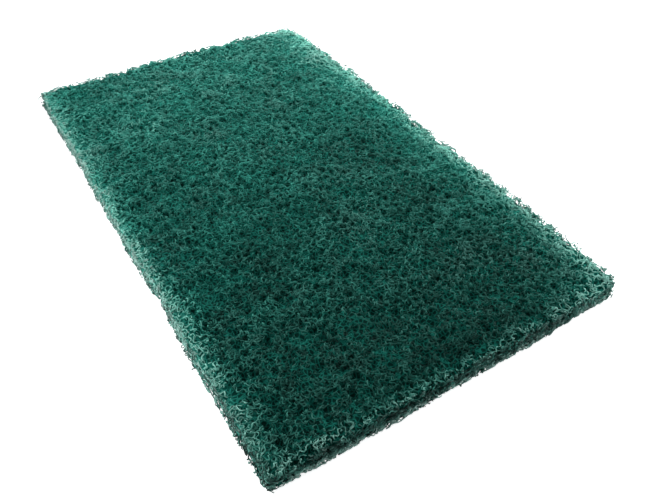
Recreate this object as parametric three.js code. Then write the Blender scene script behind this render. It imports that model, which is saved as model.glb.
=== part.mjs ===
// A scouring pad: one die-cut block of dark green non-woven web, all of it
// crimped fibre bonded with an abrasive resin. It lies flat with its long side
// along Y and its short front wall towards -Y. The origin is on the surface
// that it lies on, under the middle of the block. Millimetres, +Z up.
import * as THREE from "three";

// Overall size of the block, over its highest and widest fibres
const padLength = 250;
const padWidth = 150;
const padThickness = 9;

// Corners of the cut outline: the left pair are crisp, the right pair are worn round
const leftFrontRadius = 2.5;
const leftFarRadius = 2;
const rightFrontRadius = 7;
const rightFarRadius = 9;

// Side walls, from the underside to the rim of the top
const hemHeight = 1.1;
const hemTuck = 0.6;
const shoulderDrop = 1.6;
const shoulderLean = 0.7;
const rimDrop = 0.5;
const rimLean = 2.1;
const wallDish = 0.35;

// How far each cut side wanders from a straight line, and over what length
const leftWander = 0.8;
const rightWander = 1.6;
const farWander = 1.3;
const frontWander = 0.6;
const wanderSpan = 17;
const wanderReach = 26;

// The right side bows: its ends stand in from its middle by this much
const rightBow = 2;

// A shallow nick in the left side
const nickDepth = 1.3;
const nickHalfLength = 7;
const nickFromFront = 86;

// Surface of the web: tufts with pits between them, long crosswise hollows and a slow sag
const tuftPitch = 3.3;
const tuftJitter = 0.8;
const pitDepth = 1.5;
const hollowDepth = 0.75;
const hollowLength = 46;
const hollowSpacing = 10;
const hollowStart = 0.45;
const hollowFull = 0.95;
const sagDepth = 0.7;
const sagSpan = 70;
const edgeFray = 0.9;

// Repeatable scatter between 0 and 1 for a whole-number place in the web
const scatterStepA = 127.1;
const scatterStepB = 311.7;
const scatterStepLayer = 74.7;
const scatterGain = 43758.5453;

function scatter(a, b, layer) {
  const turn = a * scatterStepA + b * scatterStepB + layer * scatterStepLayer;
  const value = Math.sin(turn) * scatterGain;
  return value - Math.floor(value);
}

// The same scatter drawn out into a smooth field
function drift(a, b, layer) {
  const a0 = Math.floor(a);
  const b0 = Math.floor(b);
  const fa = THREE.MathUtils.smoothstep(a - a0, 0, 1);
  const fb = THREE.MathUtils.smoothstep(b - b0, 0, 1);
  const near = THREE.MathUtils.lerp(scatter(a0, b0, layer), scatter(a0 + 1, b0, layer), fa);
  const far = THREE.MathUtils.lerp(scatter(a0, b0 + 1, layer), scatter(a0 + 1, b0 + 1, layer), fa);
  return THREE.MathUtils.lerp(near, far, fb);
}

// Layers of scatter, one for each thing that it shapes
const layers = {
  left: 1,
  right: 2,
  far: 3,
  front: 4,
  fray: 5,
  shiftX: 11,
  shiftY: 12,
  pit: 13,
  hollow: 14,
  sag: 15,
  diagonal: 16,
};

function cornerRadius(x, y) {
  if (x < 0) {
    return y < 0 ? leftFrontRadius : leftFarRadius;
  }
  return y < 0 ? rightFrontRadius : rightFarRadius;
}

// Moves a point of a plain rectangle, drawn in by `inset`, to the block with round corners
function roundCorner(x, y, inset) {
  const radius = Math.max(cornerRadius(x, y) - inset, 0);
  const across = Math.abs(x) - (padWidth / 2 - inset - radius);
  const along = Math.abs(y) - (padLength / 2 - inset - radius);
  if (across <= 0 || along <= 0) {
    return [x, y];
  }
  const reach = Math.max(across, along);
  const turn = (Math.PI / 4) * (Math.min(across, along) / reach);
  const major = reach * Math.cos(turn);
  const minor = reach * Math.sin(turn);
  const newAcross = across >= along ? major : minor;
  const newAlong = across >= along ? minor : major;
  return [
    x + Math.sign(x) * (newAcross - across),
    y + Math.sign(y) * (newAlong - along),
  ];
}

// How far a side stands in from its straight line at a place along it
function sideDip(side, place) {
  const wander = { left: leftWander, right: rightWander, far: farWander, front: frontWander }[side];
  let dip = wander * drift(place / wanderSpan, 0, layers[side]);
  if (side === "right") {
    dip += rightBow * (place / (padLength / 2)) ** 2;
  }
  if (side === "left") {
    const fromNick = (place - (nickFromFront - padLength / 2)) / nickHalfLength;
    dip += nickDepth * Math.exp(-fromNick * fromNick);
  }
  return dip;
}

// The dips fade out towards the middle of the block
function wanderShift(x, y) {
  const nearSide = THREE.MathUtils.smoothstep(Math.abs(x), padWidth / 2 - wanderReach, padWidth / 2);
  const nearEnd = THREE.MathUtils.smoothstep(Math.abs(y), padLength / 2 - wanderReach, padLength / 2);
  const dipX = sideDip(x < 0 ? "left" : "right", y);
  const dipY = sideDip(y < 0 ? "front" : "far", x);
  return [x - Math.sign(x) * dipX * nearSide, y - Math.sign(y) * dipY * nearEnd];
}

function place(x, y, inset) {
  const [roundX, roundY] = roundCorner(x, y, inset);
  return wanderShift(roundX, roundY);
}

// The web is laid out as a grid of tufts over the top, and as rings around the walls
const fewestTufts = 4;
const tuftsAcross = Math.max(fewestTufts, Math.round(padWidth / tuftPitch));
const tuftsAlong = Math.max(fewestTufts, Math.round(padLength / tuftPitch));

function gridPoint(i, j, inset) {
  const x = (i / tuftsAcross - 0.5) * (padWidth - 2 * inset);
  const y = (j / tuftsAlong - 0.5) * (padLength - 2 * inset);
  return [x, y];
}

// The grid places of one lap around the rim, anticlockwise seen from above
function lapOfGrid() {
  const lap = [];
  for (let i = 0; i < tuftsAcross; i += 1) {
    lap.push([i, 0]);
  }
  for (let j = 0; j < tuftsAlong; j += 1) {
    lap.push([tuftsAcross, j]);
  }
  for (let i = tuftsAcross; i > 0; i -= 1) {
    lap.push([i, tuftsAlong]);
  }
  for (let j = tuftsAlong; j > 0; j -= 1) {
    lap.push([0, j]);
  }
  return lap;
}

// How deep the top lies under the highest tufts at one tuft
function topDepth(i, j, x, y) {
  const pit = pitDepth * scatter(i, j, layers.pit);
  const crosswise = drift(x / hollowLength, y / hollowSpacing, layers.hollow);
  const hollow = hollowDepth * THREE.MathUtils.smoothstep(crosswise, hollowStart, hollowFull);
  const sag = sagDepth * drift(x / sagSpan, y / sagSpan, layers.sag);
  return pit + hollow + sag;
}

// Top of the web: every grid place, with its own shift and height
function topOfWeb() {
  const vertices = [];
  for (let j = 0; j <= tuftsAlong; j += 1) {
    for (let i = 0; i <= tuftsAcross; i += 1) {
      const onRim = i === 0 || j === 0 || i === tuftsAcross || j === tuftsAlong;
      const [gridX, gridY] = gridPoint(i, j, rimLean);
      const [x, y] = place(gridX, gridY, rimLean);
      const shift = onRim ? 0 : tuftJitter;
      const shiftX = shift * (scatter(i, j, layers.shiftX) - 0.5);
      const shiftY = shift * (scatter(i, j, layers.shiftY) - 0.5);
      const depth = topDepth(i, j, x, y) + (onRim ? rimDrop : 0);
      vertices.push(new THREE.Vector3(x + shiftX, y + shiftY, -depth));
    }
  }
  const highest = Math.max(...vertices.map((vertex) => vertex.z));
  vertices.forEach((vertex) => {
    vertex.z += padThickness - highest;
  });
  return vertices;
}

// Rings of the walls from below the rim down to the underside: height and inset of each
const wallRings = [
  { height: padThickness - shoulderDrop, inset: shoulderLean },
  { height: (padThickness - shoulderDrop + hemHeight) / 2, inset: shoulderLean / 2 + wallDish },
  { height: hemHeight, inset: 0 },
  { height: 0, inset: hemTuck },
];

function wallRing(ring, layer, lap) {
  return lap.map(([i, j]) => {
    const fray = edgeFray * scatter(i, j, layers.fray + layer);
    const inset = ring.inset + fray;
    const [x, y] = place(...gridPoint(i, j, inset), inset);
    return new THREE.Vector3(x, y, ring.height);
  });
}

// Triangles of the top, with the diagonals turned by the scatter so that no rows show
function topFaces() {
  const faces = [];
  const row = tuftsAcross + 1;
  for (let j = 0; j < tuftsAlong; j += 1) {
    for (let i = 0; i < tuftsAcross; i += 1) {
      const a = j * row + i;
      const b = a + 1;
      const c = b + row;
      const d = a + row;
      if (scatter(i, j, layers.diagonal) < 0.5) {
        faces.push(a, b, c, a, c, d);
      } else {
        faces.push(a, b, d, b, c, d);
      }
    }
  }
  return faces;
}

// Band of triangles between two laps, the upper one first
function bandFaces(upper, lower) {
  const faces = [];
  upper.forEach((a, k) => {
    const b = upper[(k + 1) % upper.length];
    const c = lower[(k + 1) % lower.length];
    const d = lower[k];
    faces.push(a, d, b, b, d, c);
  });
  return faces;
}

// The flat underside that the pad lies on
function undersideFaces(vertices, lap) {
  const outline = lap.map((k) => new THREE.Vector2(vertices[k].x, vertices[k].y));
  const triangles = THREE.ShapeUtils.triangulateShape(outline, []);
  return triangles.flatMap(([a, b, c]) => [lap[a], lap[c], lap[b]]);
}

function padGeometry() {
  const vertices = topOfWeb();
  const faces = topFaces();
  const lap = lapOfGrid();
  let above = lap.map(([i, j]) => j * (tuftsAcross + 1) + i);
  wallRings.forEach((ring, layer) => {
    const start = vertices.length;
    vertices.push(...wallRing(ring, layer, lap));
    const below = lap.map((_, k) => start + k);
    faces.push(...bandFaces(above, below));
    above = below;
  });
  faces.push(...undersideFaces(vertices, above));

  const geometry = new THREE.BufferGeometry();
  geometry.setFromPoints(vertices);
  geometry.setIndex(faces);
  geometry.computeBoundingBox();
  const middle = geometry.boundingBox.getCenter(new THREE.Vector3());
  geometry.translate(-middle.x, -middle.y, 0);
  geometry.computeVertexNormals();
  return geometry;
}

// Dark green abrasive web, with no gloss
const webMaterial = new THREE.MeshStandardMaterial({
  color: 0x23534a,
  roughness: 0.95,
  metalness: 0,
  flatShading: true,
});

const pad = new THREE.Mesh(padGeometry(), webMaterial);
pad.name = "scouring_pad";

const group = new THREE.Group();
group.add(pad);
export default group;
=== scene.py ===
# %% [markdown]
# # A scouring pad
# The real object is one block cut from a thick sheet of non-woven web: crimped
# nylon fibre, blown into a loose mat and glued with a dark green resin that
# carries the grit. Seen close, it is a tangle of curly strands with dark pores
# between them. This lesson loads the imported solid, which has the right outline
# and height, and dresses it as that tangle.

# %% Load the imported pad
import math

import bmesh
import bpy
import numpy as np
from mathutils import Matrix, Vector, noise
from mathutils.bvhtree import BVHTree


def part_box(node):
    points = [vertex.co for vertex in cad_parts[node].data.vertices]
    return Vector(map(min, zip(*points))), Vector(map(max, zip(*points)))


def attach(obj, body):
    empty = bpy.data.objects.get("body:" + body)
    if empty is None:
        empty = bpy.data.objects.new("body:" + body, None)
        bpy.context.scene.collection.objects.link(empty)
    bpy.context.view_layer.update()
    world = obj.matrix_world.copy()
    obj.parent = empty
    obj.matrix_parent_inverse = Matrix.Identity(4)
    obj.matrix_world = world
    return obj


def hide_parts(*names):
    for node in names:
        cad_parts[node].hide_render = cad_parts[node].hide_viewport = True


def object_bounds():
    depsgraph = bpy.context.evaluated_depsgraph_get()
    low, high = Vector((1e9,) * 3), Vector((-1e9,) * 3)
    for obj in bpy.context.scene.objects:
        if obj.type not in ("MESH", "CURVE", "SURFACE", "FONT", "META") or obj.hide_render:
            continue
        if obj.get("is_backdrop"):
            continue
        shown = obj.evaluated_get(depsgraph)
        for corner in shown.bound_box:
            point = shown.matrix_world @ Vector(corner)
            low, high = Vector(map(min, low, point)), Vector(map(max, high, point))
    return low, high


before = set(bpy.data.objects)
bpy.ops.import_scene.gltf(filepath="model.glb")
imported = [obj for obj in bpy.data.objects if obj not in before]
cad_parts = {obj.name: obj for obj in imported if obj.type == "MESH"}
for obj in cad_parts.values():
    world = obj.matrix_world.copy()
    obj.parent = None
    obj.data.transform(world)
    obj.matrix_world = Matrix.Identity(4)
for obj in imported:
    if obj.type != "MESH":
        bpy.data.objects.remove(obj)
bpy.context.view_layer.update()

NODE = "scouring_pad"
MM = 0.001
low, high = (np.array(corner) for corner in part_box(NODE))
PAD_HEIGHT = high[2] - low[2]
print("pad in millimetres:", np.round((high - low) / MM, 1))

# %% [markdown]
# ## The camera
# The photograph looks down on the pad from its front left corner, from about a
# quarter of a metre away, so its lines run together strongly. A camera is
# easiest to repeat when it is stated as a point that it looks at, a turn round
# that point, a rise above the floor and a distance. The small roll says that it
# was not quite level. The matrix is built from the camera's three axes, because
# that keeps the roll exact.

# %% Place the camera
LOOK_AT = Vector((-5.7, -48.6, 0.0)) * MM
CAMERA_TURN = math.radians(-32.15)
CAMERA_RISE = math.radians(43.61)
CAMERA_ROLL = math.radians(0.22)
CAMERA_DISTANCE = 255.8 * MM
LENS_MM = 35.23
SENSOR_MM = 36.0
NEAREST_SEEN = 10 * MM


def put_in_scene(name, data):
    item = bpy.data.objects.new(name, data)
    bpy.context.scene.collection.objects.link(item)
    return item


def camera_matrix():
    back = Vector((
        math.sin(CAMERA_TURN) * math.cos(CAMERA_RISE),
        -math.cos(CAMERA_TURN) * math.cos(CAMERA_RISE),
        math.sin(CAMERA_RISE),
    ))
    level = Vector((0, 0, 1)).cross(back).normalized()
    upright = back.cross(level)
    right = math.cos(CAMERA_ROLL) * level + math.sin(CAMERA_ROLL) * upright
    up = back.cross(right)
    turn = Matrix((right, up, back)).transposed().to_4x4()
    return Matrix.Translation(LOOK_AT + back * CAMERA_DISTANCE) @ turn


camera_data = bpy.data.cameras.new("camera")
camera_data.lens = LENS_MM
camera_data.sensor_width = SENSOR_MM
camera_data.clip_start = NEAREST_SEEN
camera = put_in_scene("camera", camera_data)
camera.matrix_world = camera_matrix()
bpy.context.scene.camera = camera
print("camera stands at", [round(v / MM) for v in camera.matrix_world.translation])

# %% [markdown]
# ## Table, background and lamps
# The pad lies on a plain white table that the photograph shows as pure white,
# with only a breath of shadow. More light would bleach the pad, so what the
# camera sees directly gets a little glow of its own, which the Light Path node
# keeps away from the pad. The table's white paint stays under that glow and
# still takes the shadow.

# %% Node helpers
def new_tree(owner):
    owner.use_nodes = True
    owner.node_tree.nodes.clear()
    return owner.node_tree


def feed(tree, socket, value):
    """Gives a socket a plain value, or what another node gives."""
    if hasattr(value, "links"):
        tree.links.new(value, socket)
    else:
        socket.default_value = value


def add_node(tree, kind, **settings):
    node = tree.nodes.new("ShaderNode" + kind)
    for key, value in settings.items():
        if key in node.inputs:
            feed(tree, node.inputs[key], value)
        else:
            setattr(node, key, value)
    return node


def combine(tree, operation, *values, clamp=False):
    node = add_node(tree, "Math", operation=operation, use_clamp=clamp)
    for socket, value in zip(node.inputs, values):
        feed(tree, socket, value)
    return node.outputs[0]


def show_background(tree, lighting, shown, output_kind):
    """Light falls from one shader, and the lens, mirrors and glass see the other."""
    rays = add_node(tree, "LightPath").outputs
    direct = combine(tree, "MAXIMUM", rays["Is Camera Ray"], rays["Is Glossy Ray"])
    direct = combine(tree, "MAXIMUM", direct, rays["Is Transmission Ray"])
    chosen = add_node(tree, "MixShader")
    for socket, value in zip(chosen.inputs, (direct, lighting.outputs[0], shown.outputs[0])):
        feed(tree, socket, value)
    add_node(tree, output_kind, Surface=chosen.outputs[0])


print("node helpers ready")

# %% The table
TABLE_REACH = 4.0
TABLE_HEIGHT = -0.1 * MM
TABLE_PAINT = (0.80, 0.81, 0.80, 1)
TABLE_GLOW = 0.80


def table_material():
    material = bpy.data.materials.new("white_table")
    tree = new_tree(material)
    paint = add_node(tree, "BsdfDiffuse", Color=TABLE_PAINT)
    glow = add_node(tree, "Emission", Strength=TABLE_GLOW)
    lifted = add_node(tree, "AddShader")
    tree.links.new(paint.outputs[0], lifted.inputs[0])
    tree.links.new(glow.outputs[0], lifted.inputs[1])
    show_background(tree, paint, lifted, "OutputMaterial")
    return material


def flat_square(name, reach, height):
    mesh = bpy.data.meshes.new(name)
    turns = ((-1, -1), (1, -1), (1, 1), (-1, 1))
    mesh.from_pydata([(a * reach, b * reach, height) for a, b in turns], [], [(0, 1, 2, 3)])
    return put_in_scene(name, mesh)


table = flat_square("table_top", TABLE_REACH, TABLE_HEIGHT)
table.data.materials.append(table_material())
table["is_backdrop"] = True
print("table reaches", TABLE_REACH, "m each way")

# %% [markdown]
# The light in the photograph is soft and comes mostly from behind the pad, so
# its pores are dark and its far half is pale. A cool, even room fills the
# shadows, one wide lamp stands behind, two small ones brighten the long sides,
# and a fourth lifts the right front corner.

# %% The room's light
ROOM_LIGHT = (0.90, 0.97, 1.0, 1)
ROOM_STRENGTH = 0.34
PAD_MIDDLE = (0.0, 0.0, 0.0)
FAR_HALF = (0.0, 0.05, 0.0)
RIGHT_CORNER = (0.05, -0.12, 0.0)
# Each lamp's place, what it points at, its width and its power
LAMPS = {
    "window_behind": ((0.11, 0.30, 0.20), FAR_HALF, 0.22, 1.55),
    "lamp_at_left": ((-0.27, 0.00, 0.10), PAD_MIDDLE, 0.16, 0.5),
    "lamp_at_right": ((0.26, -0.08, 0.12), PAD_MIDDLE, 0.16, 0.5),
    "lamp_at_front_right": ((0.20, -0.27, 0.10), RIGHT_CORNER, 0.12, 0.2),
}


def light_room():
    world = bpy.data.worlds.new("studio")
    tree = new_tree(world)
    room = add_node(tree, "Background", Color=ROOM_LIGHT, Strength=ROOM_STRENGTH)
    white = add_node(tree, "Background", Color=(1, 1, 1, 1))
    show_background(tree, room, white, "OutputWorld")
    bpy.context.scene.world = world


def soft_lamp(name, place, aim, across, power):
    lamp_data = bpy.data.lights.new(name, "AREA")
    lamp_data.shape = "DISK"
    lamp_data.size = across
    lamp_data.energy = power
    lamp = put_in_scene(name, lamp_data)
    lamp.location = place
    lamp.rotation_euler = (Vector(aim) - Vector(place)).to_track_quat("-Z", "Y").to_euler()


light_room()
for name, lamp in LAMPS.items():
    soft_lamp(name, *lamp)
bpy.context.scene.view_settings.view_transform = "Standard"
print("lamps:", list(LAMPS))

# %% [markdown]
# ## Reading the solid
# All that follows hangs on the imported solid, so its shape is read once, over a
# grid. A ray dropped from above gives the height of the top. The way to the
# walls is measured level, and only to the faces that cross half height, because
# the nearest place on the solid would often be on its top. The heights with the
# single tufts smoothed away show the long hollows.

# %% Read the solid on a grid
GRID_STEP = 1.0 * MM
GRID_MARGIN = 8.0 * MM
FAR_AWAY = 1.0
HALF_HEIGHT = low[2] + PAD_HEIGHT / 2
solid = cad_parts[NODE].data


def tree_of_faces(faces):
    return BVHTree.FromPolygons([tuple(v.co) for v in solid.vertices], faces)


def crosses_half_height(face):
    heights = [solid.vertices[k].co.z for k in face]
    return min(heights) < HALF_HEIGHT < max(heights)


ALL_FACES = [tuple(p.vertices) for p in solid.polygons]
solid_tree = tree_of_faces(ALL_FACES)
wall_tree = tree_of_faces([face for face in ALL_FACES if crosses_half_height(face)])


def read_solid():
    """Over a grid: the top's height, and how far each place is past the walls."""
    across = np.arange(low[0] - GRID_MARGIN, high[0] + GRID_MARGIN, GRID_STEP)
    along = np.arange(low[1] - GRID_MARGIN, high[1] + GRID_MARGIN, GRID_STEP)
    heights = np.full((len(across), len(along)), np.nan)
    past = np.empty((len(across), len(along)))
    for i, x in enumerate(across):
        for j, y in enumerate(along):
            hit = solid_tree.ray_cast((x, y, FAR_AWAY), (0, 0, -1))[0]
            if hit is not None:
                heights[i, j] = hit.z
            distance = wall_tree.find_nearest((x, y, HALF_HEIGHT))[3]
            past[i, j] = distance if hit is None else -distance
    return heights, past


def grow_outwards(heights):
    """Fills the places past the walls from their nearest neighbours."""
    grown = heights.copy()
    while np.isnan(grown).any():
        padded = np.pad(grown, 1, constant_values=np.nan)
        shifts = [padded[1 + a:padded.shape[0] - 1 + a, 1 + b:padded.shape[1] - 1 + b]
                  for a in (-1, 0, 1) for b in (-1, 0, 1)]
        stack = np.stack(shifts)
        known = ~np.isnan(stack)
        total = np.where(known, stack, 0).sum(0)
        mean = total / np.maximum(known.sum(0), 1)
        empty = np.isnan(grown) & known.any(0)
        grown[empty] = mean[empty]
    return grown


HEIGHTS, PAST_WALL = read_solid()
HEIGHTS = grow_outwards(HEIGHTS)
print("top lies between", round(HEIGHTS.min() / MM, 2), "and", round(HEIGHTS.max() / MM, 2), "mm")

# %% Ask the grid
# Just short of the last grid point, so that every place has a next one
LAST_CELL = 1.001
TUFT_REACH = 2
TUFT_ROUNDS = 2
RIM_ZONE = 15.0 * MM


def read_grid(grid, x, y):
    """The grid's value at each x and y, smoothly between its points."""
    x, y = np.nan_to_num(x), np.nan_to_num(y)
    i = np.clip((x - low[0] + GRID_MARGIN) / GRID_STEP, 0, grid.shape[0] - LAST_CELL)
    j = np.clip((y - low[1] + GRID_MARGIN) / GRID_STEP, 0, grid.shape[1] - LAST_CELL)
    i0, j0 = i.astype(int), j.astype(int)
    fi, fj = i - i0, j - j0
    near = grid[i0, j0] * (1 - fi) + grid[i0 + 1, j0] * fi
    far = grid[i0, j0 + 1] * (1 - fi) + grid[i0 + 1, j0 + 1] * fi
    return near * (1 - fj) + far * fj


def smoothed(grid, reach, rounds):
    """The grid with each value spread over its neighbours, a few times over."""
    for _ in range(rounds * 2):
        padded = np.pad(grid, ((reach, reach), (0, 0)), mode="edge")
        grid = np.mean([padded[k:k + len(grid)] for k in range(2 * reach + 1)], axis=0).T
    return grid


AWAY_FROM_WALL = np.clip(-PAST_WALL / RIM_ZONE, 0, 1)
MEAN_HEIGHT = HEIGHTS[PAST_WALL < 0].mean()
HOLLOWS = (MEAN_HEIGHT - smoothed(HEIGHTS, TUFT_REACH, TUFT_ROUNDS)) * AWAY_FROM_WALL


def top_height(x, y):
    return read_grid(HEIGHTS, x, y)


def hollow_depth(x, y):
    """How far the top sags below its mean height, with the single tufts left out."""
    return read_grid(HOLLOWS, x, y)


def past_wall(x, y):
    """How far each place stands outside the walls; inside it is below 0."""
    return read_grid(PAST_WALL, x, y)


print("hollows are up to", round(HOLLOWS.max() / MM, 2), "mm deep")

# %% [markdown]
# ## Pores
# Seen close, the web is a net: strands crowd together round small dark pores.
# Strands that are scattered evenly would hide those pores, so one field says
# where the pores are, and every layer obeys it. Cell noise gives such a field:
# its cells have the right irregular shapes, and the way to the second nearest
# cell centre, less the way to the nearest, is zero on their rims and largest in
# their middles. Each cell has its own strength, so that pores differ in depth.
#
# Dust has half closed the pores near the long sides. This change over the pad,
# and every later one, is stated as two rows: places in millimetres, and the
# value at each of them.

# %% Where the pores are
PORE_SPACING = 2.9 * MM
PORE_STEEPNESS = 2.2
STRENGTH_MIDDLE = 0.72
STRENGTH_SPREAD = 1.1
STRENGTH_SCALE = 3.7
PORES_ACROSS = ((-75, -70, -66, 40, 60, 66, 70), (0.3, 0.5, 1, 1, 0.85, 0.7, 0.5))


def pore_share(spots):
    """0 on the net between the pores, and up to 1 in the middle of a deep pore."""
    share = np.empty(len(spots))
    for k, spot in enumerate(spots / PORE_SPACING):
        distances, centres = noise.voronoi(Vector(spot))
        strength = STRENGTH_MIDDLE + STRENGTH_SPREAD * noise.noise(centres[0] * STRENGTH_SCALE)
        share[k] = (distances[1] - distances[0]) * PORE_STEEPNESS * strength
    return np.clip(share, 0, 1)


def open_share(x):
    """1 over most of the pad, and less where dust has filled the pores."""
    return np.interp(x / MM, *PORES_ACROSS)


def pore_share_from_above(x, y):
    """The same field over the top, where a pore goes straight down."""
    spots = np.stack([x.ravel(), y.ravel(), np.full(x.size, PAD_HEIGHT)], -1)
    return pore_share(spots).reshape(x.shape) * open_share(x)


print("pores are about", round(PORE_SPACING / MM, 1), "mm apart")

# %% Where the pad is worn
WORN_BAND = 14.0 * MM


def worn_share(x, y):
    """0 in the middle of the pad, and up to 1 at its loose right and far sides."""
    from_right = (high[0] - x) / WORN_BAND
    from_far = (high[1] - y) / WORN_BAND
    return np.clip(1 - np.minimum(from_right, from_far), 0, 1)


print("loose band at the right and far sides:", WORN_BAND / MM, "mm")

# %% [markdown]
# ## The heart of the web
# Between the strands one looks down into more strands, darker and darker. They
# could be modelled all the way down, but nobody sees past the first few layers.
# So the heart is one closed body inside the strands: the solid remeshed to an
# even net of faces, drawn in a little, and pressed in at every pore.

# %% Remesh the solid
HEART_VOXEL = 1.3 * MM
MERGE_WITHIN = 0.001 * MM


def even_copy(source, voxel):
    """A copy of a mesh with its split corners joined and its faces made even."""
    mesh = source.copy()
    work = bmesh.new()
    work.from_mesh(mesh)
    bmesh.ops.remove_doubles(work, verts=work.verts, dist=MERGE_WITHIN)
    work.to_mesh(mesh)
    work.free()
    shell = put_in_scene("remesh_source", mesh)
    remesh = shell.modifiers.new("even", "REMESH")
    remesh.mode = "VOXEL"
    remesh.voxel_size = voxel
    bpy.context.view_layer.update()
    ready = shell.evaluated_get(bpy.context.evaluated_depsgraph_get())
    result = bpy.data.meshes.new_from_object(ready)
    bpy.data.objects.remove(shell)
    return result


def read_vectors(items, field):
    """All vectors of one field as an array with one row each."""
    values = np.empty(len(items) * 3)
    items.foreach_get(field, values)
    return values.reshape(-1, 3)


heart_mesh = even_copy(solid, HEART_VOXEL)
print("heart has", len(heart_mesh.polygons), "faces")

# %% [markdown]
# Painted light pales the pores near the long sides, and painted shade darkens
# those near the front and behind the front wall, while the far end gets painted
# light. Each of the heart's points carries that as a number, which its material
# reads as a tone. It is written before the pores are pressed, while the faces
# still show which way is front.

# %% Tone the heart
FACING = 0.5
# Painted light in the pores under the long rims
RIM_PAINTED_LIGHT_IN_PORES = (
    (-75, -73, -69, -66, 35, 60, 66, 70),
    (0.50, 0.45, 0.12, 0.03, 0, 0.1, 0.2, 0.3),
)
# Painted shade towards the front, and painted light towards the far end
HEART_PAINTED_LIGHT_ALONG = ((-125, -60, 0, 60, 125), (-0.12, -0.08, 0, 0.03, 0.08))
# Painted shade behind the front wall, less towards its right end
FRONT_WALL_PAINTED_SHADE = ((0, 25, 55), (-0.1, -0.1, 0.08))


def tone_heart(mesh):
    """Painted light at the long rims and far end, painted shade at the front and its wall."""
    spots = read_vectors(mesh.vertices, "co")
    facing_front = read_vectors(mesh.vertices, "normal")[:, 1] < -FACING
    tone = np.interp(spots[:, 0] / MM, *RIM_PAINTED_LIGHT_IN_PORES)
    tone += np.interp(spots[:, 1] / MM, *HEART_PAINTED_LIGHT_ALONG)
    tone[facing_front] += np.interp(spots[facing_front, 0] / MM, *FRONT_WALL_PAINTED_SHADE)
    shade = mesh.attributes.new("tone", "FLOAT", "POINT")
    shade.data.foreach_set("value", tone)
    return tone


heart_tone = tone_heart(heart_mesh)
print("heart's tone runs from", heart_tone.min().round(2), "to", heart_tone.max().round(2))

# %% [markdown]
# The left and front walls were cut crisply, so the heart stays close behind
# them. At the loose right and far sides its rim is lower and stands back, so
# that light shows through the last strands. The foot of the front wall curls
# back near both front corners, and the strands follow it later.

# %% Press in the pores
HEART_INSET = 0.8 * MM
PORE_DEPTH = 1.6 * MM
CRISP_SHARE = 0.45
LOOSE_SHARE = 0.6
UNDERSIDE_SHARE = 0.35
FULL_FROM = 1.5 * MM
LOOSE_BAND = 8.0 * MM
LOOSE_INSET = 0.3 * MM
LOOSE_DROP = 0.7 * MM
TUCK_ACROSS = ((-75, -48, -32, 35, 39, 52, 75), (0.55, 0.50, 0, 0, 0.3, 0.6, 0.9))
TUCK_REACH = 20.0 * MM


def tuck_front_foot(spots):
    """Moves the front wall back near its two corners, most at its foot."""
    to_corner = np.interp(spots[..., 0] / MM, *TUCK_ACROSS) * MM
    to_front = np.clip(1 - (spots[..., 1] - low[1]) / TUCK_REACH, 0, 1)
    to_foot = np.clip(1 - spots[..., 2] / PAD_HEIGHT, 0, 1)
    spots[..., 1] += to_corner * to_front * to_foot


def draw_in_loose_edges(spots):
    """Pulls the right and far edges in and down, most at the edge itself."""
    from_right = np.clip(1 - (high[0] - spots[:, 0]) / LOOSE_BAND, 0, 1)
    from_far = np.clip(1 - (high[1] - spots[:, 1]) / LOOSE_BAND, 0, 1)
    spots[:, 0] -= LOOSE_INSET * from_right
    spots[:, 1] -= LOOSE_INSET * from_far
    spots[:, 2] -= LOOSE_DROP * np.maximum(from_right, from_far) * spots[:, 2] / PAD_HEIGHT


def press_pores(mesh):
    """Draws the mesh in and presses a pore into every cell of the pore field."""
    spots = read_vectors(mesh.vertices, "co")
    outward = read_vectors(mesh.vertices, "normal")
    level = np.abs(outward[:, 2]) > FACING
    cells = spots.copy()
    cells[level, 2] = PAD_HEIGHT
    pores = pore_share(cells) * open_share(spots[:, 0])
    clear = UNDERSIDE_SHARE + (1 - UNDERSIDE_SHARE) * np.clip(spots[:, 2] / FULL_FROM, 0, 1)
    depth = (HEART_INSET + PORE_DEPTH * pores) * clear
    depth[np.minimum(outward[:, 0], outward[:, 1]) < -FACING] *= CRISP_SHARE
    depth[np.maximum(outward[:, 0], outward[:, 1]) > FACING] *= LOOSE_SHARE
    spots -= outward * depth[:, None]
    draw_in_loose_edges(spots)
    tuck_front_foot(spots)
    spots[:, 2] = np.maximum(spots[:, 2], low[2])
    mesh.vertices.foreach_set("co", spots.ravel())
    mesh.update()
    return depth


heart_depths = press_pores(heart_mesh)
heart = put_in_scene("web_heart", heart_mesh)
print("heart is pressed in by up to", round(heart_depths.max() / MM, 2), "mm")

# %% [markdown]
# A texture that is baked later needs a flat map of the heart. An automatic map
# would fall into thousands of islands along the pores, so it is laid out in
# sheets: the top and the underside next to each other, and the four walls as
# strips.

# %% Lay the heart's map
MAP_SCALE = 2.6
MAP_GAP = 0.02
TOP_CORNER = (MAP_GAP, MAP_GAP)
UNDER_CORNER = (0.5, MAP_GAP)
FIRST_STRIP = 0.72
STRIP_PITCH = 0.06
WALL_NORMALS = [(-1, 0), (1, 0), (0, -1), (0, 1)]
TOP_SHEET = 4
UNDER_SHEET = 5
RIM_WIDTH = 3.5 * MM
NEARLY_LEVEL = 0.6


def sheet_of_each_face(mesh):
    """The number of the map's sheet that each face belongs to."""
    normals = read_vectors(mesh.polygons, "normal")
    centres = read_vectors(mesh.polygons, "center")
    from_edge = np.minimum(centres[:, :2] - low[:2], high[:2] - centres[:, :2]).min(1)
    inner = from_edge > RIM_WIDTH
    up = np.where(inner, centres[:, 2] > PAD_HEIGHT / 2, normals[:, 2] > 0)
    level = inner | (np.abs(normals[:, 2]) > NEARLY_LEVEL)
    wall = np.argmax(normals[:, :2] @ np.array(WALL_NORMALS).T, 1)
    return np.where(level, np.where(up, TOP_SHEET, UNDER_SHEET), wall)


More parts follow.
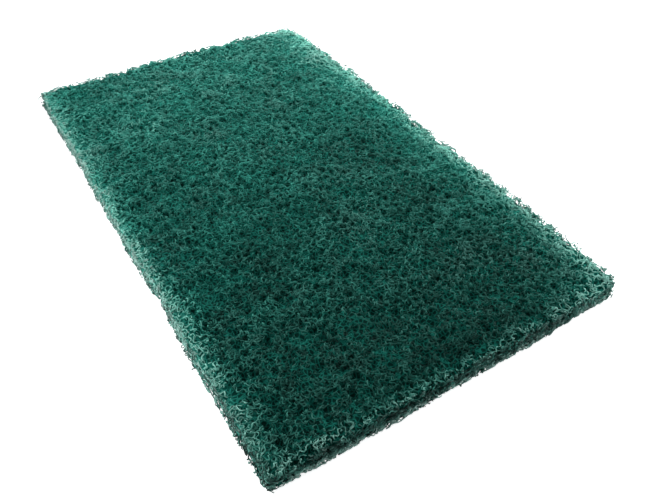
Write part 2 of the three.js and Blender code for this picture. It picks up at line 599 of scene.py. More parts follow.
def lay_flat(mesh):
    """Writes the map from each corner's place and its face's direction."""
    spots = read_vectors(mesh.vertices, "co")
    sides = np.empty(len(mesh.polygons), int)
    mesh.polygons.foreach_get("loop_total", sides)
    corners = np.empty(len(mesh.loops), int)
    mesh.loops.foreach_get("vertex_index", corners)
    sheet = np.repeat(sheet_of_each_face(mesh), sides)
    place = (spots[corners] - low) * MAP_SCALE
    maps = place[:, :2].copy()
    maps[sheet == TOP_SHEET] += TOP_CORNER
    maps[sheet == UNDER_SHEET] += UNDER_CORNER
    for k, (faces_across, _) in enumerate(WALL_NORMALS):
        along = place[:, 1] if faces_across else place[:, 0]
        strip = np.stack([along + MAP_GAP, place[:, 2] + FIRST_STRIP + k * STRIP_PITCH], -1)
        maps[sheet == k] = strip[sheet == k]
    baked = mesh.uv_layers.new(name="OFBake")
    baked.data.foreach_set("uv", maps.ravel())
    return maps


heart_map = lay_flat(heart_mesh)
print("map lies between", heart_map.min(0).round(3), "and", heart_map.max(0).round(3))

# %% [markdown]
# ## The finish
# Every strand is nylon under a skin of dark green resin with grit in it. The
# resin soaks up red light, so the web is a deep blue green where it is thick
# and shaded. The grit scatters a little white. The pale mint at the top of the
# shades gives the strands' glints, as painted highlights. One material serves
# all strands: each carries its own tone as numbers on its points, and noise in
# three sizes adds fine grit, streaks that run across the pad as the mat was
# carded, and broad patches.

# %% Helpers for materials
def ramp(tree, stops, shade):
    """The colour that the given (place, colour) stops have at a shade."""
    node = add_node(tree, "ValToRGB", Fac=shade)
    elements = node.color_ramp.elements
    while len(elements) < len(stops):
        elements.new(0.5)
    for element, (place, colour) in zip(elements, stops):
        element.position = place
        element.color = (*colour, 1)
    return node.outputs[0]


def point_number(tree, name):
    """A number that each point of the mesh carries under this name."""
    return add_node(tree, "Attribute", attribute_name=name).outputs["Fac"]


def object_noise(tree, scale, detail, stretch=(1, 1, 1)):
    """Noise that is fixed to the pad, so it stays put in every view."""
    place = add_node(tree, "TexCoord").outputs["Object"]
    place = add_node(tree, "Mapping", Vector=place, Scale=stretch).outputs[0]
    texture = add_node(tree, "TexNoise", Vector=place, Scale=scale, Detail=detail)
    return texture.outputs["Fac"]


def spread_about_zero(tree, value, amount):
    """A noise value from 0 to 1 turned into one from -amount/2 to amount/2."""
    return combine(tree, "MULTIPLY_ADD", value, amount, -amount / 2)


def blend(tree, share, first, second):
    """The first colour where the share is 0, and the second where it is 1."""
    mix = add_node(tree, "Mix", data_type="RGBA", Factor=share, A=first, B=second)
    return mix.outputs["Result"]


def resin_skin(tree, colour, height, roughness, specular, strength, distance):
    """The shader that all of the web has: matt resin over a bumpy surface."""
    bump = add_node(tree, "Bump", Strength=strength, Distance=distance, Height=height)
    skin = add_node(tree, "BsdfPrincipled", Roughness=roughness, Normal=bump.outputs[0])
    feed(tree, skin.inputs["Base Color"], colour)
    feed(tree, skin.inputs["Specular IOR Level"], specular)
    add_node(tree, "OutputMaterial", Surface=skin.outputs[0])


print("material helpers ready")

# %% [markdown]
# A strand's tone picks its colour from one of three rows of shades. Clean resin
# is the most saturated, and grit makes it duller. Nylon that has lost its skin
# is greyer still, so each point also carries how bare it is.

# %% Strand material
RESIN_SHADES = [
    (0.0, (0.001, 0.027, 0.021)),
    (0.35, (0.006, 0.13, 0.098)),
    (0.7, (0.035, 0.32, 0.25)),
    (1.0, (0.21, 0.62, 0.51)),
]
GRITTY_SHADES = [
    (0.0, (0.004, 0.023, 0.0185)),
    (0.35, (0.021, 0.108, 0.086)),
    (0.7, (0.083, 0.285, 0.234)),
    (1.0, (0.31, 0.59, 0.51)),
]
BARE_SHADES = [
    (0.0, (0.004, 0.011, 0.0095)),
    (0.35, (0.03, 0.06, 0.052)),
    (0.7, (0.13, 0.225, 0.198)),
    (1.0, (0.36, 0.52, 0.475)),
]
GRIT = dict(scale=900.0, detail=3.0)
STREAKS = dict(scale=250.0, detail=2.0, stretch=(0.13, 1, 1))
PATCHES = dict(scale=42.0, detail=3.0, stretch=(0.55, 1, 1))
GRIT_AMOUNT = 0.16
STREAK_AMOUNT = 0.22
PATCH_AMOUNT = 0.30
DUSTY_PLACES = dict(scale=65.0, detail=3.0)
DUSTY_CONTRAST = 2.0
DUSTY_START = -0.72
STRAND_FINISH = dict(roughness=0.6, specular=0.1, strength=0.4, distance=0.05 * MM)


def strand_material():
    material = bpy.data.materials.new("resin_on_strands")
    tree = new_tree(material)
    grit = object_noise(tree, **GRIT)
    streaks = object_noise(tree, **STREAKS)
    patches = object_noise(tree, **PATCHES)
    shade = point_number(tree, "tone")
    shade = combine(tree, "ADD", shade, spread_about_zero(tree, grit, GRIT_AMOUNT))
    shade = combine(tree, "ADD", shade, spread_about_zero(tree, streaks, STREAK_AMOUNT))
    patched = spread_about_zero(tree, patches, PATCH_AMOUNT)
    shade = combine(tree, "ADD", shade, patched, clamp=True)
    dusty = object_noise(tree, **DUSTY_PLACES)
    dusty = combine(tree, "MULTIPLY_ADD", dusty, DUSTY_CONTRAST, DUSTY_START, clamp=True)
    resin, gritty, bare = (
        ramp(tree, stops, shade) for stops in (RESIN_SHADES, GRITTY_SHADES, BARE_SHADES)
    )
    skin = blend(tree, dusty, resin, gritty)
    colour = blend(tree, point_number(tree, "bare"), skin, bare)
    resin_skin(tree, colour, grit, **STRAND_FINISH)
    return material


STRAND_SKIN = strand_material()
print("strand shades:", len(RESIN_SHADES) + len(GRITTY_SHADES) + len(BARE_SHADES))

# %% [markdown]
# The heart is seen only between the strands, so one row of dark shades is enough
# for it, over small cells that read as a deeper tangle. The dark shades are
# painted shade, for the shade deep inside the web.

# %% Heart material
# Painted shade: darker than the strands, as the deep web lies in shade
HEART_SHADES = [
    (0.0, (0.0008, 0.016, 0.012)),
    (0.2, (0.0008, 0.026, 0.02)),
    (0.5, (0.005, 0.095, 0.072)),
    (0.8, (0.018, 0.2, 0.154)),
    (1.0, (0.1, 0.38, 0.31)),
]
HEART_DARKEST = 0.2
HEART_SPREAD = 0.6
HEART_CELLS = 620.0
CELL_FALL = -4.5
HEART_GRIT = dict(scale=700.0, detail=3.0)
GRIT_LIFT = 0.35
HEART_FINISH = dict(roughness=0.8, specular=0.03, strength=0.8, distance=0.4 * MM)


def heart_material():
    material = bpy.data.materials.new("resin_in_the_deep")
    tree = new_tree(material)
    place = add_node(tree, "TexCoord").outputs["Object"]
    cells = add_node(
        tree, "TexVoronoi", feature="DISTANCE_TO_EDGE", Vector=place, Scale=HEART_CELLS,
    )
    rims = combine(tree, "MULTIPLY_ADD", cells.outputs["Distance"], CELL_FALL, 1.0, clamp=True)
    grit = combine(tree, "ADD", object_noise(tree, **HEART_GRIT), GRIT_LIFT)
    shade = combine(tree, "MULTIPLY", rims, grit, clamp=True)
    shade = combine(tree, "MULTIPLY_ADD", shade, HEART_SPREAD, HEART_DARKEST)
    shade = combine(tree, "ADD", shade, point_number(tree, "tone"), clamp=True)
    resin_skin(tree, ramp(tree, HEART_SHADES, shade), rims, **HEART_FINISH)
    return material


heart_mesh.materials.clear()
heart_mesh.materials.append(heart_material())
heart_mesh.polygons.foreach_set("use_smooth", np.ones(len(heart_mesh.polygons), bool))
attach(heart, "root")
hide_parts(NODE)
print("heart dressed")

# %% [markdown]
# ## The strands
# Nylon for such a web is crimped: each fibre waves from side to side like a
# loose spring before it is blown into the mat. Each path could be drawn as a
# Blender curve, but thousands of them are quicker and lighter as arrays. A
# strand is walked forward in small steps while its heading swings in a wave and
# also wanders, and all strands are walked at once.

# %% Walk the crimped paths
STEP = 0.7 * MM
WANDER = 0.22


def crimped_paths(draw, starts, steps, swing, wave, spread):
    """Paths in a plane, one through each start, mostly along its first axis."""
    count = len(starts)
    crosswise = draw.normal(0, spread, count) + math.pi * draw.integers(0, 2, count)
    travel = np.arange(steps) * STEP
    swings = draw.uniform(*swing, (count, 1))
    waves = draw.uniform(*wave, (count, 1))
    phase = draw.uniform(0, math.tau, (count, 1))
    wander = draw.normal(0, WANDER, (count, steps)).cumsum(1)
    heading = crosswise[:, None] + wander + swings * np.sin(math.tau * travel / waves + phase)
    moves = np.stack([np.cos(heading), np.sin(heading)], -1) * STEP
    path = moves.cumsum(1)
    middle = path[:, steps // 2:steps // 2 + 1]
    return starts[:, None, :] + path - middle


def starts_between(draw, count, lowest, highest):
    return np.stack([draw.uniform(a, b, count) for a, b in zip(lowest, highest)], -1)


def weave(draw, count, steps, height, wave):
    """How far each point of each strand rises or dips as the strand weaves."""
    travel = np.arange(steps) * STEP
    heights = draw.uniform(*height, (count, 1))
    waves = draw.uniform(*wave, (count, 1))
    phase = draw.uniform(0, math.tau, (count, 1))
    return heights * np.sin(math.tau * travel / waves + phase)


print("step along a strand:", STEP / MM, "mm")

# %% [markdown]
# A path becomes a closed tube with three sides. That is enough for a strand that
# is a pixel or two wide, and it keeps the whole web under a million triangles.
# Each stretch of tube also gets a texture cell of its own, so that its colours
# can be baked.

# %% Turn a path into a tube
SIDES = 3
RING = np.arange(SIDES) * math.tau / SIDES + math.pi / 2
LONGEST_LINK = 2.0 * STEP
# Nearly upright, yet a direction that no strand follows exactly
LEAN = np.array([0.11, 0.07, 1.0])
TINY = 1e-12
CAP_CELL = np.array([(0.1, 0.1), (0.9, 0.1), (0.1, 0.9)])


def link_nodes(nodes, keep):
    """Which neighbours on a path are joined: both kept, and close together."""
    gaps = np.linalg.norm(np.diff(nodes, axis=1), axis=-1)
    return keep[:, :-1] & keep[:, 1:] & (np.nan_to_num(gaps, nan=1.0) < LONGEST_LINK)


def strand_rings(nodes, linked, radius):
    """Corners round each node of each strand."""
    step = np.where(linked[..., None], np.diff(nodes, axis=1), 0)
    along = np.pad(step, ((0, 0), (0, 1), (0, 0))) + np.pad(step, ((0, 0), (1, 0), (0, 0)))
    along /= np.linalg.norm(along, axis=-1, keepdims=True) + TINY
    side = np.cross(along, LEAN)
    side /= np.linalg.norm(side, axis=-1, keepdims=True) + TINY
    lift = np.cross(side, along)
    spokes = [np.cos(a) * side + np.sin(a) * lift for a in RING]
    return np.stack([nodes + radius[..., None] * spoke for spoke in spokes], 2)


def tube_faces(linked, kept, starts, ends):
    """Corner numbers of the tubes' four-sided faces and of their three-sided ends."""
    number = np.cumsum(kept.ravel()).reshape(kept.shape) - 1
    first = number[:, :-1][linked] * SIDES
    second = number[:, 1:][linked] * SIDES
    quads = []
    for side in range(SIDES):
        after = (side + 1) % SIDES
        quads.append(np.stack([first + side, first + after, second + after, second + side], -1))
    start_caps = number[starts][:, None] * SIDES + np.arange(SIDES)[::-1]
    end_caps = number[ends][:, None] * SIDES + np.arange(SIDES)
    return np.stack(quads, 1).reshape(-1, 4), np.concatenate([start_caps, end_caps])


def cell_maps(stretches, caps):
    """Map corners: a square cell for each stretch of tube and each end."""
    cells = stretches + caps
    per_row = math.ceil(math.sqrt(cells))
    index = np.arange(cells)
    origin = np.stack([index % per_row, index // per_row], -1) / per_row
    maps = []
    for side in range(SIDES):
        floor, ceiling = side / SIDES, (side + 1) / SIDES
        box = np.array([(0, floor), (0, ceiling), (1, ceiling), (1, floor)]) / per_row
        maps.append(origin[:stretches, None, :] + box)
    quad_maps = np.stack(maps, 1).reshape(-1, 2)
    cap_maps = (origin[stretches:, None, :] + CAP_CELL / per_row).reshape(-1, 2)
    return np.concatenate([quad_maps, cap_maps])


print("sides of a tube:", SIDES)

# %% Turn strands into a piece
# Keeps every piece under 200,000 triangles
NODE_BUDGET = 29500
ABOVE_TABLE = 0.03 * MM


def fill_mesh(mesh, corners, quads, caps):
    """Writes corners, four-sided faces and ends into an empty mesh."""
    sizes = np.concatenate([np.full(len(quads), 4), np.full(len(caps), 3)])
    mesh.vertices.add(len(corners))
    mesh.vertices.foreach_set("co", corners.ravel())
    mesh.loops.add(quads.size + caps.size)
    mesh.loops.foreach_set("vertex_index", np.concatenate([quads.ravel(), caps.ravel()]))
    mesh.polygons.add(len(sizes))
    mesh.polygons.foreach_set("loop_start", np.concatenate([[0], sizes.cumsum()[:-1]]))
    mesh.polygons.foreach_set("loop_total", sizes)
    mesh.update(calc_edges=True)
    mesh.polygons.foreach_set("use_smooth", np.ones(len(sizes), bool))


def write_numbers(mesh, name, values, kept):
    """Writes one number for each kept node onto all the corners round it."""
    numbers = mesh.attributes.new(name, "FLOAT", "POINT")
    numbers.data.foreach_set("value", np.repeat(values[kept], SIDES))


def strand_piece(name, nodes, radius, keep, tone, bare):
    """One mesh of closed tubes along the kept stretches of the paths."""
    keep = keep & (keep.sum(1).cumsum() < NODE_BUDGET)[:, None]
    tuck_front_foot(nodes)
    linked = link_nodes(nodes, keep)
    from_before = np.pad(linked, ((0, 0), (1, 0)))
    to_next = np.pad(linked, ((0, 0), (0, 1)))
    kept = from_before | to_next
    nodes[..., 2] = np.maximum(nodes[..., 2], low[2] + radius + ABOVE_TABLE)
    quads, caps = tube_faces(linked, kept, kept & ~from_before, kept & ~to_next)

    mesh = bpy.data.meshes.new(name)
    fill_mesh(mesh, strand_rings(nodes, linked, radius)[kept].reshape(-1, 3), quads, caps)
    baked = mesh.uv_layers.new(name="OFBake")
    baked.data.foreach_set("uv", cell_maps(len(quads) // SIDES, len(caps)).ravel())
    write_numbers(mesh, "tone", tone, kept)
    write_numbers(mesh, "bare", bare, kept)
    mesh.materials.append(STRAND_SKIN)
    piece = put_in_scene(name, mesh)
    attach(piece, "root")
    print(name, "has", len(quads) * 2 + len(caps), "triangles in", len(caps) // 2, "strands")
    return piece


print("most points in one piece:", NODE_BUDGET)

# %% [markdown]
# ## The tone of the top
# Painted highlights lie along the rims of the top, and painted light makes the
# whole top paler towards the far and right sides and into the right front corner.
# Painted shade makes a strand darker the deeper it lies in the web, in a pore or
# in a hollow, and painted light makes it paler where it weaves up. Ends that
# stand out past the wall have lost their skin, so they are darker and greyer.
# All of that could be painted by hand, but it is surer to give each point its
# tone by its place, with a little chance added as specks.

# %% Shade the top
TOP_TONE = 0.54
TONE_SCATTER = 0.04
TOP_RISE = (0.15 * MM, 0.4 * MM)
# Painted highlights along the left, front and right rims, by millimetres in from each
LEFT_RIM = ((0, 1.5, 3, 5, 7, 12), (0.44, 0.40, 0.37, 0.23, 0.12, 0))
FRONT_RIM = ((0, 1.4, 2.2, 3.6, 7, 12), (0.0, 0.18, 0.58, 0.42, 0.05, 0))
RIGHT_RIM = (
    (0, 2, 4, 5.5, 7, 9.5, 13.5, 22),
    (0.28, 0.34, 0.27, 0.16, 0.05, 0.01, 0.03, 0),
)
RIGHT_RIM_ENDS = ((18.0, 24.0), (1, 0))
# The left rim's painted highlight is spread along it, and painted light and shade lie over the
# whole top
# The places of the next three rows are shares of half the pad, not millimetres
LEFT_RIM_ALONG = ((-1, -0.85, -0.6, 0, 0.5, 1), (1.15, 1.25, 2.1, 1.2, 0.65, 0.5))
FADE_ACROSS = ((-1, -0.7, 0, 0.6, 0.8, 1), (0.08, 0.06, 0, 0.04, 0.16, 0.27))
FADE_ALONG = (
    (-1, -0.9, -0.8, -0.6, -0.4, 0, 0.2, 0.45, 1),
    (-0.26, -0.23, -0.14, -0.19, -0.10, -0.05, -0.03, 0.07, 0.11),
)
FADE_TO_CORNER = 0.40
FADE_ON_LEFT = 0.12
# Painted shade where the top sags into a long hollow
PAINTED_SHADE_PER_MM_HOLLOW = 0.16
# Painted light, paler towards the worn right and far sides
PAINTED_LIGHT_AT_WORN_SIDES = 0.14
# Painted shade deep in the web and in the pores, and painted light where a strand weaves up
PAINTED_SHADE_PER_MM_DEEP = 0.11
PAINTED_SHADE_IN_PORE = 0.30
PAINTED_LIGHT_ON_RISE = 0.08
SPECKLE = 0.04
RIM_SPECKLE = 0.3
SHADE_PAST_WALL = 0.30
BARE_PAST_WALL = 0.8
BARE_AT_WALL = 0.4
BARE_AT_FRONT = 0.35


def rim_painted_highlight(x, y):
    """Painted highlights along the left rim, mostly near the front, and the right and front rims.
    """
    left = np.interp((x - low[0]) / MM, *LEFT_RIM) * np.interp(y / high[1], *LEFT_RIM_ALONG)
    at_right = np.interp((high[0] - x) / MM, *RIGHT_RIM_ENDS)
    right = np.interp(-past_wall(x, y) / MM, *RIGHT_RIM) * at_right
    return left + right + np.interp((y - low[1]) / MM, *FRONT_RIM)


def painted_light_over_top(x, y):
    """Painted light and shade: paler towards the left, right and far sides, most at the right
    front corner, and darker towards the front.
    """
    across, along = x / high[0], y / high[1]
    sides = np.interp(across, *FADE_ACROSS) + np.interp(along, *FADE_ALONG)
    sides = sides - FADE_ON_LEFT * np.clip(-across, 0, 1) * along
    return sides + FADE_TO_CORNER * np.clip(across, 0, 1) ** 2 * np.clip(-along, 0, 1) ** 2


def top_shade(draw, x, y, rise, depths, pores, past):
    """The tone of every point of every strand over the top, with painted light and shade."""
    shade = TOP_TONE + draw.normal(0, TONE_SCATTER, (len(x), 1))
    shade = shade + PAINTED_LIGHT_ON_RISE * rise / TOP_RISE[1]
    shade = shade - PAINTED_SHADE_PER_MM_DEEP * depths / MM - PAINTED_SHADE_IN_PORE * pores
    shade = shade - PAINTED_SHADE_PER_MM_HOLLOW * hollow_depth(x, y) / MM
    shade = shade + painted_light_over_top(x, y) + PAINTED_LIGHT_AT_WORN_SIDES * worn_share(x, y)
    specks = draw.normal(0, 1, x.shape)
    shade = shade + SPECKLE * specks + rim_painted_highlight(x, y) * (1 + RIM_SPECKLE * specks)
    return shade - SHADE_PAST_WALL * np.clip(past / MM, 0, 1)


def bare_top(y, past):
    """How bare the strands over the top are: most where they reach past the wall."""
    at_front = BARE_AT_FRONT * np.clip(-y / high[1], 0, 1)
    return np.maximum(at_front, BARE_PAST_WALL * np.clip(BARE_AT_WALL + past / MM, 0, 1))


print("tone of a strand on the crest:", TOP_TONE)

# %% [markdown]
# ## Strands over the top
# The upper strands are laid in four layers. Each layer follows the solid's top
# at its own depth, and every strand weaves up and down as it goes. The deepest
# layer crosses the pores, and the ones above it are opened more and more, so
# that they crowd on the net between them. Where a strand would leave the block
# it is cut, as the die cut the real one, though at the worn right and far sides
# some are let out further, as loose ends. Depths and radii are in millimetres,
# and `opened` is the share of a pore that a layer still covers.

# %% Lay the top layers
TOP_LAYERS = {
    "top_strands_deep": dict(
        seed=11, count=1500, depth=(1.0, 1.9), radius=(0.21, 0.29), opened=0.92,
    ),
    "top_strands_lower": dict(
        seed=12, count=1600, depth=(0.6, 1.2), radius=(0.20, 0.28), opened=0.72,
    ),
    "top_strands_upper": dict(
        seed=13, count=1800, depth=(0.2, 0.8), radius=(0.19, 0.27), opened=0.55,
    ),
    "top_strands_crest": dict(
        seed=14, count=2000, depth=(-0.1, 0.4), radius=(0.18, 0.26), opened=0.42,
    ),
}
LEVEL_STEPS = 34
LEVEL_SPREAD = 1.0
LAY_MARGIN = 6.0 * MM
TOP_SWING = (0.8, 1.7)
TOP_WAVE = (2.8 * MM, 5.2 * MM)
WEAVE_LENGTH = (3 * MM, 7 * MM)
SAG = 0.5 * MM
OPEN_SCATTER = 0.12
UNEVEN = 0.12
THINNEST = 0.1 * MM
THICKEST = 0.4 * MM
CUT_REACH = 0.15
CUT_SCATTER = 0.9
WORN_REACH = 0.8
WORN_SCATTER = 1.4


def level_plan(draw, count, swing, wave):
    """Strands seen from above, scattered over the pad and a little past it."""
    starts = starts_between(draw, count, low[:2] - LAY_MARGIN, high[:2] + LAY_MARGIN)
    plan = crimped_paths(draw, starts, LEVEL_STEPS, swing, wave, LEVEL_SPREAD)
    return plan[..., 0], plan[..., 1]


def reach_allowed(draw, x, y):
    """How far past the wall each strand may reach: more at the worn sides."""
    loose = draw.uniform(0, 1, (len(x), 1))
    worn = (WORN_REACH + WORN_SCATTER * loose ** 2) * worn_share(x, y)
    return (CUT_REACH + CUT_SCATTER * loose + worn) * MM


def lay_top(name, seed, count, depth, radius, opened):
    """One layer of strands, which follows the top at its own depth."""
    draw = np.random.default_rng(seed)
    x, y = level_plan(draw, count, TOP_SWING, TOP_WAVE)
    rise = weave(draw, count, LEVEL_STEPS, TOP_RISE, WEAVE_LENGTH)
    depths = draw.uniform(*depth, (count, 1)) * MM
    pores = pore_share_from_above(x, y)
    z = top_height(x, y) - depths + rise - SAG * pores
    past = past_wall(x, y)
    open_at = opened + draw.uniform(-OPEN_SCATTER, OPEN_SCATTER, (count, 1))
    keep = (pores < open_at) & (past < reach_allowed(draw, x, y))
    thick = draw.uniform(*radius, (count, 1)) * MM
    thick = np.clip(thick * (1 + UNEVEN * draw.normal(0, 1, x.shape)), THINNEST, THICKEST)
    shade = top_shade(draw, x, y, rise, depths, pores, past)
    return strand_piece(name, np.stack([x, y, z], -1), thick, keep, shade, bare_top(y, past))


for name, layer in TOP_LAYERS.items():
    lay_top(name, **layer)

# %% [markdown]
# ## Strands on the cut walls
# The die leaves the walls as a slice through the mat: strands that ran along
# the cut still lie in the wall, and those that crossed it stand out as small
# loops. Both could be placed by hand, but it is surer to throw rays at the wall
# and to lay the strands where they land.
#
# The left wall carries painted light, most of it at its far end. The front wall
# carries painted light from the table along its foot, the hem, where the die
# pressed the strands flat, and painted shade under the rim, darkest towards its
# left end. The loops of the worn right and far walls reach out further. One table
# holds this for each wall. `low_end` and `high_end` give the painted shade by
# height at the two ends of the wall, and `change` is where along it the one turns
# into the other. `bare` is by height too, counts are for each metre, and `reach`
# and `lift` are in millimetres.

# %% Plan the walls
# Painted light and shade by height: the left wall lit, the front wall shaded under its rim
FRONT_LEFT = ((0.8, 3.0, 3.8, 6, 8.4), (0.94, 0.90, 0.44, 0.40, 0.78))
FRONT_RIGHT = ((0.8, 4, 8), (0.82, 0.70, 0.76))
LEFT_NEAR = ((0, 2, 5.5), (0.42, 0.50, 0.70))
LEFT_FAR = ((0, 2, 5.5), (0.70, 0.95, 1.15))
SIDE_SHADES = ((1, 5.5), (0.60, 0.84))
WORN_WALL = dict(
    sign=1, low_end=SIDE_SHADES, high_end=SIDE_SHADES, change=(-1, 1),
    bare=((0,), (0.3,)), strands=1200, hem=400, lift=0.2,
)
WALLS = {
    "left": dict(
        axis=0, sign=-1, low_end=LEFT_NEAR, high_end=LEFT_FAR, change=(-115, -60),
        bare=((0,), (0.6,)), strands=1500, hem=0, loops=1500, reach=0.7, lift=0.05,
    ),
    "right": dict(WORN_WALL, axis=0, loops=2200, reach=1.7),
    "front": dict(
        axis=1, sign=-1, low_end=FRONT_LEFT, high_end=FRONT_RIGHT, change=(10, 60),
        bare=((2.6, 3.6), (0.85, 0.6)), strands=2400, hem=1000, loops=900, reach=0.15,
        lift=0.75,
    ),
    "far": dict(WORN_WALL, axis=1, loops=2000, reach=1.3),
}
WALL_WITHIN = 9.0 * MM
RIM_WITHIN = 2.6 * MM


def painted_wall_light(wall, along, height):
    """The painted light and shade of a wall strand by its height, which changes along the wall.
    """
    low_end = np.interp(height / MM, *wall["low_end"])
    high_end = np.interp(height / MM, *wall["high_end"])
    return low_end + (high_end - low_end) * np.interp(along / MM, wall["change"], (0, 1))


def cast_on_wall(wall, along, height):
    """Where rays that are thrown squarely at the wall land on it."""
    axis, sign = wall["axis"], wall["sign"]
    spots = np.full((along.size, 3), np.nan)
    inward = Vector((0, 0, 0))
    inward[axis] = -sign
    start = Vector((0, 0, 0))
    start[axis] = sign * FAR_AWAY
    side = high[axis] if sign > 0 else -low[axis]
    for k, (s, z) in enumerate(zip(along.ravel(), height.ravel())):
        start[1 - axis] = s
        start[2] = z
        hit = solid_tree.ray_cast(start, inward)[0]
        if hit is not None and sign * hit[axis] > side - WALL_WITHIN:
            spots[k] = hit
    spots[past_wall(spots[:, 0], spots[:, 1]) < -RIM_WITHIN] = np.nan
    return spots.reshape(*along.shape, 3)


print("walls:", list(WALLS))

# %% Lay the strands in a wall
WALL_STEPS = 20
WALL_WAVE = (2.5 * MM, 5 * MM)
WALL_DEPTH = (-0.2 * MM, 0.45 * MM)
WALL_RISE = (0.1 * MM, 0.35 * MM)
WALL_RADIUS = (0.17 * MM, 0.26 * MM)
WALL_OPENED = 0.62
WALL_OPEN_SCATTER = (-0.25, 0.4)
EVEN_BELOW = 2.5 * MM
LEAST_UNEVEN = 0.2
WALL_SHADE_SCATTER = 0.13
# Painted shade deeper in the wall and in its pores, painted light where a strand weaves out
WALL_PAINTED_SHADE_PER_MM_DEEP = 0.15
WALL_PAINTED_LIGHT_ON_RISE = 0.10
WALL_FULL_RISE = 0.45 * MM
WALL_PAINTED_SHADE_IN_PORE = 0.55
WALL_SPECKLE = 0.06
WALL_BARE_SCATTER = 0.2


def lay_wall(wall, seed, per_metre, top, swing, spread):
    """Strands that lie in the wall, from the table up to a height."""
    axis, sign = wall["axis"], wall["sign"]
    draw = np.random.default_rng(seed)
    count = int(per_metre * (high[1 - axis] - low[1 - axis]))
    lift = wall["lift"] * MM
    starts = starts_between(draw, count, (low[1 - axis], lift), (high[1 - axis], top))
    plan = crimped_paths(draw, starts, WALL_STEPS, swing, WALL_WAVE, spread)
    along, height = plan[..., 0], plan[..., 1]
    nodes = cast_on_wall(wall, along, height)
    depths = draw.uniform(*WALL_DEPTH, (count, 1))
    rise = weave(draw, count, WALL_STEPS, WALL_RISE, WEAVE_LENGTH)
    uneven = np.clip(height / EVEN_BELOW, LEAST_UNEVEN, 1)
    nodes[..., axis] += sign * (rise - depths) * uneven
    landed = ~np.isnan(nodes[..., 0]) & (height > lift)
    pores = pore_share(np.nan_to_num(nodes).reshape(-1, 3)).reshape(along.shape)
    open_at = WALL_OPENED + draw.uniform(*WALL_OPEN_SCATTER, (count, 1))
    thick = draw.uniform(*WALL_RADIUS, (count, 1)) * np.ones_like(along)
    shade = painted_wall_light(wall, along, height) + draw.normal(0, WALL_SHADE_SCATTER, (count, 1))
    shade = shade - WALL_PAINTED_SHADE_PER_MM_DEEP * depths / MM
    shade = shade + WALL_PAINTED_LIGHT_ON_RISE * rise / WALL_FULL_RISE - WALL_PAINTED_SHADE_IN_PORE * pores
    shade = shade + WALL_SPECKLE * draw.normal(0, 1, along.shape)
    bare = np.interp(height / MM, *wall["bare"])
    bare = np.clip(bare + draw.normal(0, WALL_BARE_SCATTER, (count, 1)), 0, 1)
    return nodes, thick, landed & (pores < open_at), shade, bare


print("points on a wall strand:", WALL_STEPS)

# %% Lay the loops that stand out of a wall
LOOP_STEPS = 9
LOOP_ROOT = 0.9 * MM
LOOP_FROM_CORNER = 1.0 * MM
LOOP_LOWEST = 0.4 * MM
LOOP_HIGHEST = PAD_HEIGHT - 0.8 * MM
LOOP_CEILING = PAD_HEIGHT - 0.4 * MM
LOOP_OUT = (0.2, 1)
LOOP_WIDTH = (0.8 * MM, 3.6 * MM)
LOOP_TILT = 0.45
LOOP_BULGE = 0.25
LOOP_RADIUS = 0.17 * MM
LOOP_TIP_DARKER = 0.45
LOOP_SHADE_SCATTER = 0.10


def lay_loops(wall, seed):
    """Arcs that leave the wall and come back a few millimetres further on."""
    axis, sign = wall["axis"], wall["sign"]
    draw = np.random.default_rng(seed)
    first, last = low[1 - axis], high[1 - axis]
    count = int(wall["loops"] * (last - first))
    along = draw.uniform(first + LOOP_FROM_CORNER, last - LOOP_FROM_CORNER, (count, 1))
    height = draw.uniform(LOOP_LOWEST, LOOP_HIGHEST, (count, 1))
    nodes = np.repeat(cast_on_wall(wall, along, height), LOOP_STEPS, axis=1)
    turn = np.linspace(0, 1, LOOP_STEPS)
    out = draw.uniform(*LOOP_OUT, (count, 1)) * wall["reach"] * MM
    width = draw.uniform(*LOOP_WIDTH, (count, 1))
    tilt = draw.normal(0, LOOP_TILT, (count, 1))
    nodes[..., axis] += sign * ((out + LOOP_ROOT) * np.sin(math.pi * turn) - LOOP_ROOT)
    nodes[..., 1 - axis] += width * (turn - 0.5) + LOOP_BULGE * width * np.sin(math.tau * turn)
    nodes[..., 2] += tilt * width * (turn - 0.5) * 2
    landed = ~np.isnan(nodes[..., 0]) & (nodes[..., 2] < LOOP_CEILING)
    thick = np.full(nodes.shape[:2], LOOP_RADIUS)
    outer = np.sin(math.pi * turn) ** 2
    shade = painted_wall_light(wall, along, height) - LOOP_TIP_DARKER * outer
    shade = shade + draw.normal(0, LOOP_SHADE_SCATTER, (count, 1))
    rooted = np.interp(height / MM, *wall["bare"])
    bare = rooted + (1 - rooted) * outer
    return nodes, thick, landed, shade, bare


print("points on a loop:", LOOP_STEPS)

# %% Dress all four walls
WALL_SEED = 21
LOOP_SEED = 31
HEM_SEED = 51
IN_THE_WALL = dict(top=PAD_HEIGHT, swing=(0.8, 1.6), spread=0.75)
IN_THE_HEM = dict(top=1.8 * MM, swing=(0.5, 1.1), spread=0.25)
# The array in a set of strands that says which points are kept
KEPT_PART = 2


def join_sets(sets, steps):
    """Pads strand sets to one length so that they make one mesh."""
    joined = []
    for part in range(len(sets[0])):
        mode = "constant" if part == KEPT_PART else "edge"
        padded = []
        for one in sets:
            values = one[part]
            missing = steps - values.shape[1]
            widths = [(0, 0), (0, missing)] + [(0, 0)] * (values.ndim - 2)
            padded.append(np.pad(values, widths, mode=mode))
        joined.append(np.concatenate(padded))
    return joined


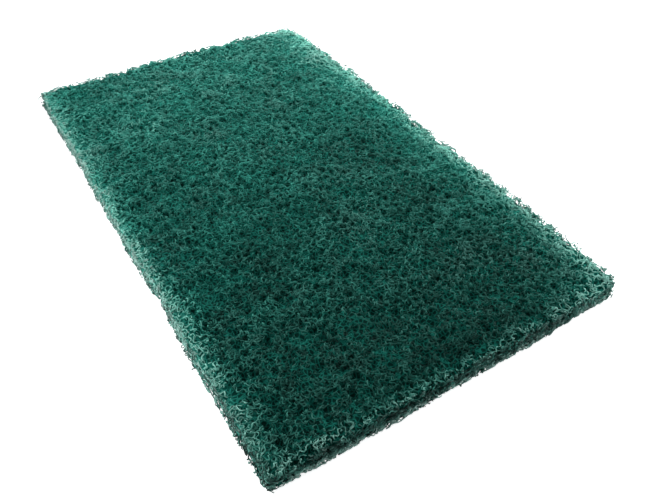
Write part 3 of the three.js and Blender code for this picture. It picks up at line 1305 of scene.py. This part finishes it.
wall_sets = []
for k, wall in enumerate(WALLS.values()):
    wall_sets.append(lay_wall(wall, WALL_SEED + k, wall["strands"], **IN_THE_WALL))
    wall_sets.append(lay_wall(wall, HEM_SEED + k, wall["hem"], **IN_THE_HEM))
    wall_sets.append(lay_loops(wall, LOOP_SEED + k))
strand_piece("wall_strands", *join_sets(wall_sets, WALL_STEPS))

# %% [markdown]
# ## The underside
# The mat has no wrong side, so the underside is a tangle too. It is seldom
# looked at, so it gets fewer and thicker strands, over the heart's own pores.

# %% Lay the underside
UNDER_SWING = (0.8, 1.6)
UNDER_WAVE = (4 * MM, 7 * MM)
UNDER_RISE = (0.1 * MM, 0.25 * MM)
UNDER_WEAVE = (4 * MM, 8 * MM)
UNDER_DEPTH = (0.25 * MM, 0.8 * MM)
UNDER_STOP = (-1.0 * MM, -0.4 * MM)
UNDER_RADIUS = (0.22 * MM, 0.30 * MM)
UNDER_TONE = 0.60
UNDER_SCATTER = 0.08
# Painted shade: darker the further a strand lies up inside the web
UNDER_PAINTED_SHADE_PER_MM = 0.2


def lay_underside(name, seed, count):
    """Strands just above the table, which stop short of the walls."""
    draw = np.random.default_rng(seed)
    x, y = level_plan(draw, count, UNDER_SWING, UNDER_WAVE)
    rise = weave(draw, count, LEVEL_STEPS, UNDER_RISE, UNDER_WEAVE)
    depths = draw.uniform(*UNDER_DEPTH, (count, 1))
    keep = past_wall(x, y) < draw.uniform(*UNDER_STOP, (count, 1))
    thick = draw.uniform(*UNDER_RADIUS, (count, 1)) * np.ones_like(x)
    shade = UNDER_TONE + draw.normal(0, UNDER_SCATTER, (count, 1))
    shade = (shade - UNDER_PAINTED_SHADE_PER_MM * depths / MM) * np.ones_like(x)
    nodes = np.stack([x, y, depths + rise], -1)
    return strand_piece(name, nodes, thick, keep, shade, np.zeros_like(x))


lay_underside("underside_strands", seed=41, count=380)

# %% Measure the dressed pad
NEW_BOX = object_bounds()


def plain(box):
    return [[float(value) for value in corner] for corner in box]


in_millimetres = [[round(value / MM, 1) for value in corner] for corner in plain(NEW_BOX)]
print("box of the dressed pad in millimetres:", in_millimetres)
